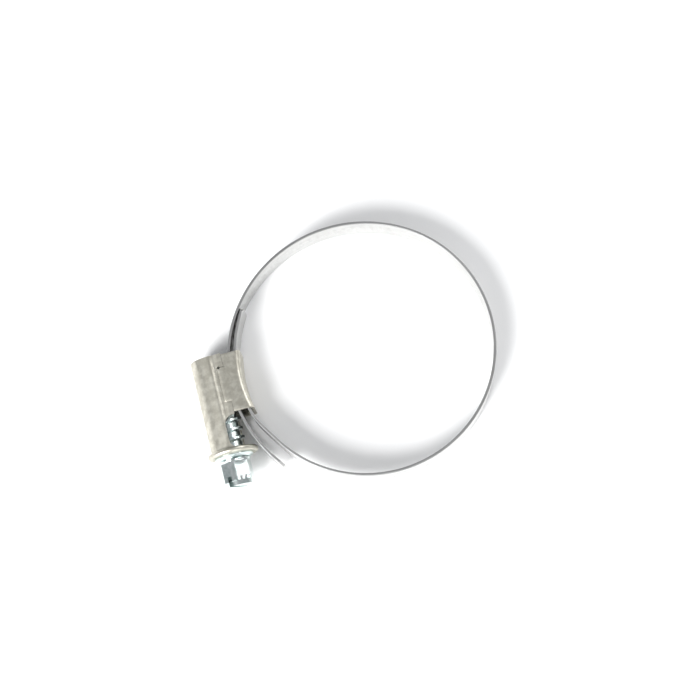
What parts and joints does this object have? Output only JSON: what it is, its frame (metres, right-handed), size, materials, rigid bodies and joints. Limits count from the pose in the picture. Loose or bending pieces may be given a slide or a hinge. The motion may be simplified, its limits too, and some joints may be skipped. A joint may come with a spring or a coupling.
{
  "type": "hose clamp",
  "caption": "Worm-drive hose clamp: slotted hexagon screw in a pressed housing draws a threaded steel band tight round a hose.",
  "frame": {"origin": "centre of the hose seat, half way across the band's width", "axes": "+Z along the ring's axis; the housing is on the -X side and the screw's head points to -Y"},
  "size_m": [0.0773, 0.0649, 0.0128],
  "materials": {
    "band_steel": "bright rolled strip, fine lengthwise grain",
    "housing_steel": "pressed sheet with a warm grey zinc and aluminium coat, satin",
    "screw_steel": "bright blue-white zinc plate"
  },
  "bodies": {
    "housing": {"housing_shell": "housing_steel", "saddle": "housing_steel", "fixed_band_end": "band_steel"},
    "screw": {"worm_screw": "screw_steel"},
    "tail": {"threaded_tail": "band_steel"},
    "links_01": {"band_link_01": "band_steel"},
    "links_02_07": {"band_link_02": "band_steel", "band_link_03": "band_steel", "band_link_04": "band_steel", "band_link_05": "band_steel", "band_link_06": "band_steel", "band_link_07": "band_steel"},
    "links_08_09": {"band_link_08": "band_steel", "band_link_09": "band_steel"},
    "links_18": {"band_link_18": "band_steel"},
    "links_12_17": {"band_link_12": "band_steel", "band_link_13": "band_steel", "band_link_14": "band_steel", "band_link_15": "band_steel", "band_link_16": "band_steel", "band_link_17": "band_steel"},
    "links_10_11": {"band_link_10": "band_steel", "band_link_11": "band_steel"}
  },
  "joints": [
    {"name": "screw_spin", "type": "hinge", "parent": "housing", "child": "screw", "pos_m": [-0.03865, -0.0035, 0], "axis": [0, 1, 0], "range_deg": [-720, 1440]},
    {"name": "band_travel", "type": "hinge", "parent": "housing", "child": "tail", "pos_m": [-0.00097, -0.00167, 0], "axis": [0, 0, 1], "range_deg": [-8.24, 16.17]},
    {"name": "flex_01", "type": "hinge", "parent": "tail", "child": "links_01", "pos_m": [-0.02496, 0.02232, 0], "axis": [0, 0, 1], "range_deg": [-3.48, 1.89]},
    {"name": "flex_02", "type": "hinge", "parent": "links_01", "child": "links_02_07", "pos_m": [-0.01793, 0.02771, 0], "axis": [0, 0, 1], "range_deg": [-0.88, 0.59]},
    {"name": "flex_08", "type": "hinge", "parent": "links_02_07", "child": "links_08_09", "pos_m": [0.02817, 0.01517, 0], "axis": [0, 0, 1], "range_deg": [-0.88, 0.59]},
    {"name": "flex_18", "type": "hinge", "parent": "housing", "child": "links_18", "pos_m": [-0.02653, -0.01789, 0], "axis": [0, 0, 1], "range_deg": [-2.06, 3.82]},
    {"name": "flex_17", "type": "hinge", "parent": "links_18", "child": "links_12_17", "pos_m": [-0.02064, -0.02446, 0], "axis": [0, 0, 1], "range_deg": [-1.15, 1.99]},
    {"name": "flex_11", "type": "hinge", "parent": "links_12_17", "child": "links_10_11", "pos_m": [0.02619, -0.01839, 0], "axis": [0, 0, 1], "range_deg": [-0.59, 0.88]}
  ],
  "couplings": [
    {"joint": "band_travel", "follows": "screw_spin", "ratio": 0.011023},
    {"joint": "flex_01", "follows": "screw_spin", "ratio": -0.002207},
    {"joint": "flex_02", "follows": "screw_spin", "ratio": -0.00040613},
    {"joint": "flex_08", "follows": "screw_spin", "ratio": -0.00040613},
    {"joint": "flex_18", "follows": "screw_spin", "ratio": 0.002444},
    {"joint": "flex_17", "follows": "screw_spin", "ratio": 0.0011744},
    {"joint": "flex_11", "follows": "screw_spin", "ratio": 0.00040613}
  ]
}
